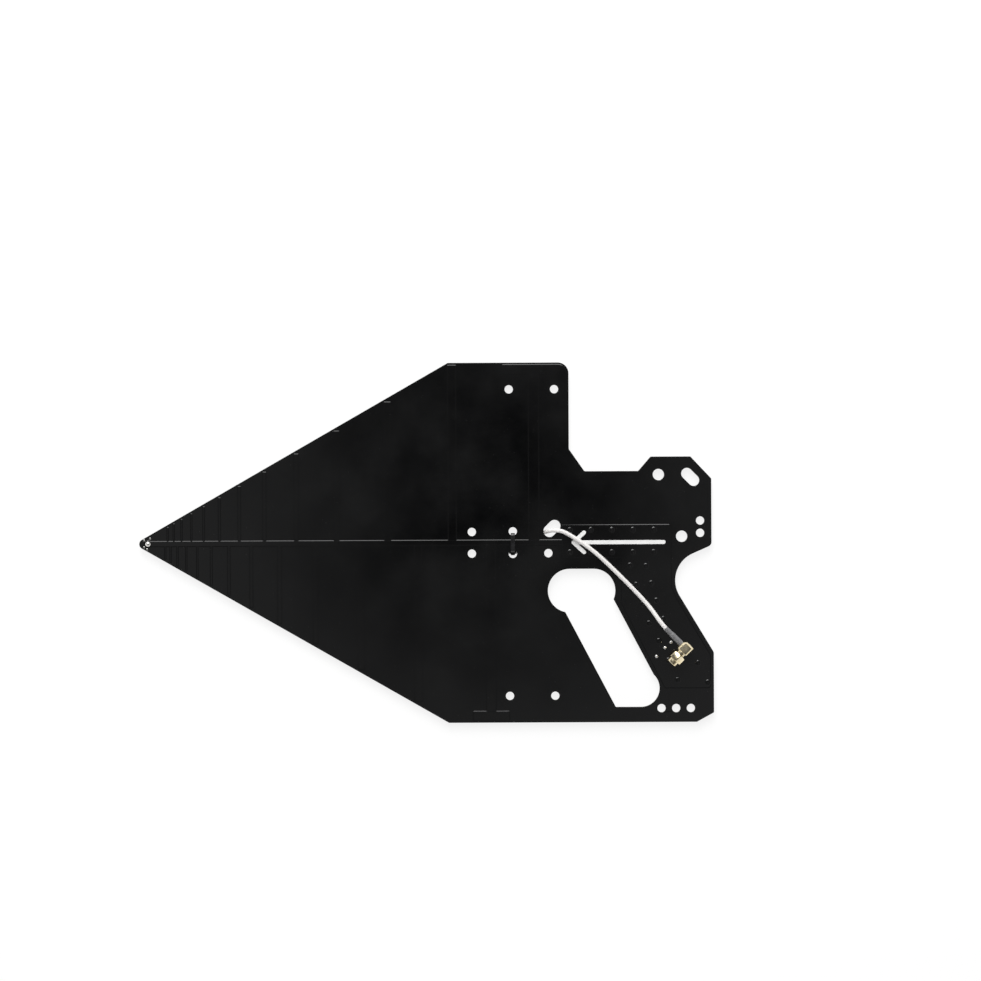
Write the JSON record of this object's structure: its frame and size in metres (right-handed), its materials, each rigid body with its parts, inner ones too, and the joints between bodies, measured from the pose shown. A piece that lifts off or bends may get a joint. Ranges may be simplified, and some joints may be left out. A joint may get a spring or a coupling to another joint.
{
  "type": "log periodic antenna",
  "caption": "Flat arrow-shaped printed dipole array with a hand grip, fed by a thin coaxial cable that ends in a right-angle threaded plug.",
  "frame": {"origin": "middle of the board's length and width, at the level of the surface that the antenna lies on", "axes": "+X from the tip along the boom to the heel, +Y from the grip towards the lug, +Z out of the front face, which is the one that the free cable lies on"},
  "size_m": [0.3445, 0.216, 0.0149],
  "materials": {
    "solder_mask": "glossy black mask over glass laminate",
    "masked_copper": "copper under glossy black mask",
    "white_print": "matt white print",
    "cable_jacket": "smooth off-white jacket",
    "tinned_braid": "tinned copper wire",
    "white_insulator": "waxy white",
    "tin": "bright tin",
    "tie_plastic": "black nylon",
    "sleeve_plastic": "glossy grey shrink sleeve",
    "plated_brass": "turned and gold plated",
    "gasket_rubber": "red-brown silicone"
  },
  "bodies": {
    "antenna": {"board": "solder_mask", "front_copper": "masked_copper", "back_copper": "masked_copper", "front_vias": "masked_copper", "back_vias": "masked_copper", "tip_pads": "tin", "tinned_spots": "tin", "direction_arrow": "white_print", "feed_cable": "cable_jacket", "cable_braid": "tinned_braid", "cable_dielectric": "white_insulator", "centre_conductor": "tinned_braid", "feed_solder": "tin", "braid_solder": "tin", "cable_tie": "tie_plastic", "pigtail_cable": "cable_jacket", "shrink_sleeve": "sleeve_plastic", "crimp_ferrule": "plated_brass", "plug_body": "plated_brass", "plug_rear_cap": "plated_brass", "snap_ring": "plated_brass", "plug_gasket": "gasket_rubber", "plug_insulator": "white_insulator", "plug_pin": "plated_brass"},
    "nut": {"coupling_nut": "plated_brass"}
  },
  "joints": [
    {"name": "nut_turn", "type": "hinge", "parent": "antenna", "child": "nut", "pos_m": [0.15525, -0.0637, 0.01045], "axis": [-0.7071, -0.7071, 0], "continuous": true}
  ]
}
